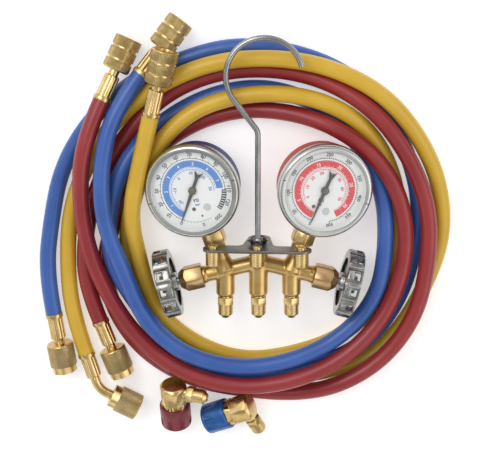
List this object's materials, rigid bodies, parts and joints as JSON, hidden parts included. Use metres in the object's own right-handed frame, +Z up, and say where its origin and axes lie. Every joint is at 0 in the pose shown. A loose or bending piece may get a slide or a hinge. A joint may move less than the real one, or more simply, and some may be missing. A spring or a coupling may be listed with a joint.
{
  "type": "refrigerant manifold gauge",
  "caption": "Two-valve refrigerant manifold with pressure gauges, handwheels, hanger hook, coiled charging hoses with flare nuts, and quick couplers.",
  "frame": {"origin": "middle of the footprint of everything but the hoses and their ends, on the surface the set lies on", "axes": "+X from the low side to the high side, +Y towards the hook, +Z up out of the gauge faces"},
  "size_m": [0.315, 0.3315, 0.0542],
  "materials": {
    "brass": "satin, slightly worn casting",
    "brass_dark": "darker bronze tone",
    "chrome_cast": "bright cast chrome",
    "plate_steel": "grey plate",
    "hook_steel": "bright bent rod",
    "case_blue": "semi-gloss blue",
    "case_red": "semi-gloss orange red",
    "bezel_metal": "pale plated ring",
    "lens": "clear",
    "dial_face": "printed white face",
    "needle_black": "black pointer",
    "locknut_black": "dark",
    "packing_ring": "matt",
    "hose_blue": "smooth, slightly glossy",
    "hose_yellow": "smooth, slightly glossy",
    "hose_red": "smooth, slightly glossy",
    "sleeve_blue": "anodised blue",
    "sleeve_red": "dark red"
  },
  "bodies": {
    "manifold": {"manifold_body": "brass", "port_fitting_low": "brass", "port_fitting_center": "brass", "port_fitting_high": "brass", "stem_packings": "packing_ring", "packing_nut_low": "brass_dark", "packing_nut_high": "brass_dark", "hanger_plate": "plate_steel", "anchor_posts": "brass", "plate_locknut": "locknut_black", "gauge_case_low": "case_blue", "gauge_bezel_low": "bezel_metal", "gauge_lens_low": "lens", "gauge_dial_low": "dial_face", "gauge_socket_low": "brass", "bourdon_tube_low": "brass_dark", "movement_frame_low": "brass", "gauge_case_high": "case_red", "gauge_bezel_high": "bezel_metal", "gauge_lens_high": "lens", "gauge_dial_high": "dial_face", "gauge_socket_high": "brass", "bourdon_tube_high": "brass_dark", "movement_frame_high": "brass", "hose_blue": "hose_blue", "ferrules_blue": "brass", "nipple_blue_near": "brass", "nipple_blue_far": "brass", "hose_yellow": "hose_yellow", "ferrules_yellow": "brass", "nipple_yellow_near": "brass", "nipple_yellow_far": "brass", "hose_red": "hose_red", "ferrules_red": "brass", "nipple_red_near": "brass", "nipple_red_far": "brass"},
    "valve_seat_low": {"valve_disc_low": "brass"},
    "valve_wheel_low": {"valve_stem_low": "hook_steel", "handwheel_low": "chrome_cast"},
    "valve_seat_high": {"valve_disc_high": "brass"},
    "valve_wheel_high": {"valve_stem_high": "hook_steel", "handwheel_high": "chrome_cast"},
    "hook": {"hook": "hook_steel", "hook_nut": "hook_steel"},
    "needle_low": {"needle_low": "needle_black"},
    "sector_low": {"sector_gear_low": "brass"},
    "needle_high": {"needle_high": "needle_black"},
    "sector_high": {"sector_gear_high": "brass"},
    "nut_blue_near": {"nut_blue_near": "brass"},
    "nut_blue_far": {"nut_blue_far": "brass"},
    "nut_yellow_near": {"nut_yellow_near": "brass"},
    "nut_yellow_far": {"nut_yellow_far": "brass"},
    "nut_red_near": {"nut_red_near": "brass"},
    "nut_red_far": {"nut_red_far": "brass"},
    "coupler_low": {"coupler_body_low": "brass"},
    "sleeve_low": {"coupler_sleeve_low": "sleeve_blue"},
    "coupler_high": {"coupler_body_high": "brass"},
    "sleeve_high": {"coupler_sleeve_high": "sleeve_red"}
  },
  "joints": [
    {"name": "valve_lift_low", "type": "slide", "parent": "manifold", "child": "valve_seat_low", "axis": [-0.9703, -0.2419, 0], "range_m": [0, 0.0025]},
    {"name": "valve_turn_low", "type": "hinge", "parent": "valve_seat_low", "child": "valve_wheel_low", "pos_m": [0, -0.014, 0.026], "axis": [-0.9703, -0.2419, 0], "range_deg": [0, 720]},
    {"name": "valve_lift_high", "type": "slide", "parent": "manifold", "child": "valve_seat_high", "axis": [0.9703, -0.2419, 0], "range_m": [0, 0.0025]},
    {"name": "valve_turn_high", "type": "hinge", "parent": "valve_seat_high", "child": "valve_wheel_high", "pos_m": [0, -0.014, 0.026], "axis": [0.9703, -0.2419, 0], "range_deg": [0, 720]},
    {"name": "hook_swivel", "type": "hinge", "parent": "manifold", "child": "hook", "pos_m": [-0.00064, -0.0006, 0.03638], "axis": [0, 1, 0], "range_deg": [-8, 8]},
    {"name": "needle_turn_low", "type": "hinge", "parent": "manifold", "child": "needle_low", "pos_m": [-0.04673, 0.04473, 0.026], "axis": [0.1647, 0.0551, -0.9848], "range_deg": [-33, 297], "stiffness_Nm_per_rad": 0.0005},
    {"name": "sector_turn_low", "type": "hinge", "parent": "manifold", "child": "sector_low", "pos_m": [-0.04331, 0.03449, 0.026], "axis": [0.1647, 0.0551, -0.9848], "range_deg": [-59.4, 6.6]},
    {"name": "needle_turn_high", "type": "hinge", "parent": "manifold", "child": "needle_high", "pos_m": [0.04673, 0.04473, 0.026], "axis": [-0.1647, 0.0551, -0.9848], "range_deg": [0, 328], "stiffness_Nm_per_rad": 0.0005},
    {"name": "sector_turn_high", "type": "hinge", "parent": "manifold", "child": "sector_high", "pos_m": [0.04331, 0.03449, 0.026], "axis": [-0.1647, 0.0551, -0.9848], "range_deg": [-65.6, 0]},
    {"name": "nut_spin_blue_near", "type": "hinge", "parent": "manifold", "child": "nut_blue_near", "pos_m": [-0.07231, 0.1461, 0.01609], "axis": [0.5998, 0.7797, -0.1799], "continuous": true},
    {"name": "nut_spin_blue_far", "type": "hinge", "parent": "manifold", "child": "nut_blue_far", "pos_m": [-0.15433, -0.08422, 0.011], "axis": [0.1498, -0.9887, 0], "continuous": true},
    {"name": "nut_spin_yellow_near", "type": "hinge", "parent": "manifold", "child": "nut_yellow_near", "pos_m": [-0.07324, 0.12277, 0.03694], "axis": [0.2352, 0.9702, 0.0588], "continuous": true},
    {"name": "nut_spin_yellow_far", "type": "hinge", "parent": "manifold", "child": "nut_yellow_far", "pos_m": [-0.11482, -0.12747, 0.0115], "axis": [0.8899, -0.4562, 0], "continuous": true},
    {"name": "nut_spin_red_near", "type": "hinge", "parent": "manifold", "child": "nut_red_near", "pos_m": [-0.10583, 0.12979, 0.01628], "axis": [0.415, 0.8892, -0.1927], "continuous": true},
    {"name": "nut_spin_red_far", "type": "hinge", "parent": "manifold", "child": "nut_red_far", "pos_m": [-0.11391, -0.08864, 0.011], "axis": [0.3508, -0.9365, 0], "continuous": true},
    {"name": "coupler_lift_low", "type": "slide", "parent": "manifold", "child": "coupler_low", "axis": [0, 0, 1], "range_m": [0, 0.06]},
    {"name": "sleeve_slide_low", "type": "slide", "parent": "coupler_low", "child": "sleeve_low", "axis": [0.8812, 0.3881, 0.2701], "range_m": [0, 0.004], "stiffness_N_per_m": 400, "springref_m": -0.003},
    {"name": "coupler_lift_high", "type": "slide", "parent": "manifold", "child": "coupler_high", "axis": [0, 0, 1], "range_m": [0, 0.06]},
    {"name": "sleeve_slide_high", "type": "slide", "parent": "coupler_high", "child": "sleeve_high", "axis": [-0.039, 0.9234, 0.3818], "range_m": [0, 0.004], "stiffness_N_per_m": 400, "springref_m": -0.003}
  ],
  "couplings": [
    {"joint": "valve_lift_low", "follows": "valve_turn_low", "m_per_rad": 0.00019894},
    {"joint": "valve_lift_high", "follows": "valve_turn_high", "m_per_rad": 0.00019894},
    {"joint": "sector_turn_low", "follows": "needle_turn_low", "ratio": -0.2},
    {"joint": "sector_turn_high", "follows": "needle_turn_high", "ratio": -0.2}
  ]
}
